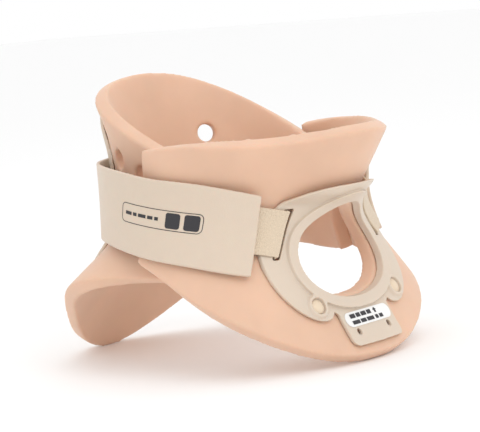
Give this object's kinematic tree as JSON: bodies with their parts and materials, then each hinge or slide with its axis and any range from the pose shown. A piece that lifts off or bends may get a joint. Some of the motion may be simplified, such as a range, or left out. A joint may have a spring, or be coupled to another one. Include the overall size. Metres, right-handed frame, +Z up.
{
  "type": "cervical collar",
  "caption": "Rigid foam cervical collar in front and rear halves, with stiffening plates, a tracheotomy opening and a hook-and-loop strap.",
  "frame": {"origin": "centre of the bottom of the collar's box, on the plane that the lower rims stand on", "axes": "+Z up along the neck, -Y to the wearer's front, +X to the wearer's left"},
  "size_m": [0.1652, 0.201, 0.1513],
  "materials": {
    "foam": "matte closed-cell foam with a smooth skin",
    "plate": "satin moulded polyethylene",
    "rivet": "satin",
    "washer": "satin",
    "label": "smooth printed film",
    "strap": "smooth laminated loop fabric",
    "hook_tape": "woven hook tape"
  },
  "bodies": {
    "rear_half": {"rear_foam": "foam", "rear_plate": "plate", "strap_back": "strap", "rear_rivets": "rivet", "rear_rivet_washers": "washer"},
    "front_half": {"front_foam": "foam", "front_plate": "plate", "front_rivets": "rivet", "front_rivet_washers": "washer", "size_label": "label"},
    "strap_left": {"strap_wing_left": "strap"},
    "strap_right": {"strap_wing_right": "strap"},
    "tab_left": {"hook_tab_left": "hook_tape"},
    "tab_right": {"hook_tab_right": "hook_tape"}
  },
  "joints": [
    {"name": "front_half_off", "type": "slide", "parent": "rear_half", "child": "front_half", "axis": [0, -1, 0], "range_m": [0, 0.11]},
    {"name": "strap_left_open", "type": "hinge", "parent": "rear_half", "child": "strap_left", "pos_m": [0.06241, 0.03125, 0.08825], "axis": [-0.0266, -0.0208, 0.9994], "range_deg": [0, 78]},
    {"name": "strap_right_open", "type": "hinge", "parent": "rear_half", "child": "strap_right", "pos_m": [-0.06241, 0.03125, 0.08825], "axis": [-0.0266, 0.0208, -0.9994], "range_deg": [0, 78]},
    {"name": "tab_left_lift", "type": "hinge", "parent": "front_half", "child": "tab_left", "pos_m": [0.03719, -0.06627, 0.06851], "axis": [0.4647, 0.0413, -0.8845], "range_deg": [0, 12]},
    {"name": "tab_right_lift", "type": "hinge", "parent": "front_half", "child": "tab_right", "pos_m": [-0.03719, -0.06627, 0.06851], "axis": [0.4647, -0.0413, 0.8845], "range_deg": [0, 12]}
  ],
  "couplings": [
    {"joint": "strap_left_open", "follows": "front_half_off", "rad_per_m": 12.376},
    {"joint": "strap_right_open", "follows": "front_half_off", "rad_per_m": 12.376},
    {"joint": "tab_left_lift", "follows": "front_half_off", "rad_per_m": 1.904},
    {"joint": "tab_right_lift", "follows": "front_half_off", "rad_per_m": 1.904}
  ]
}
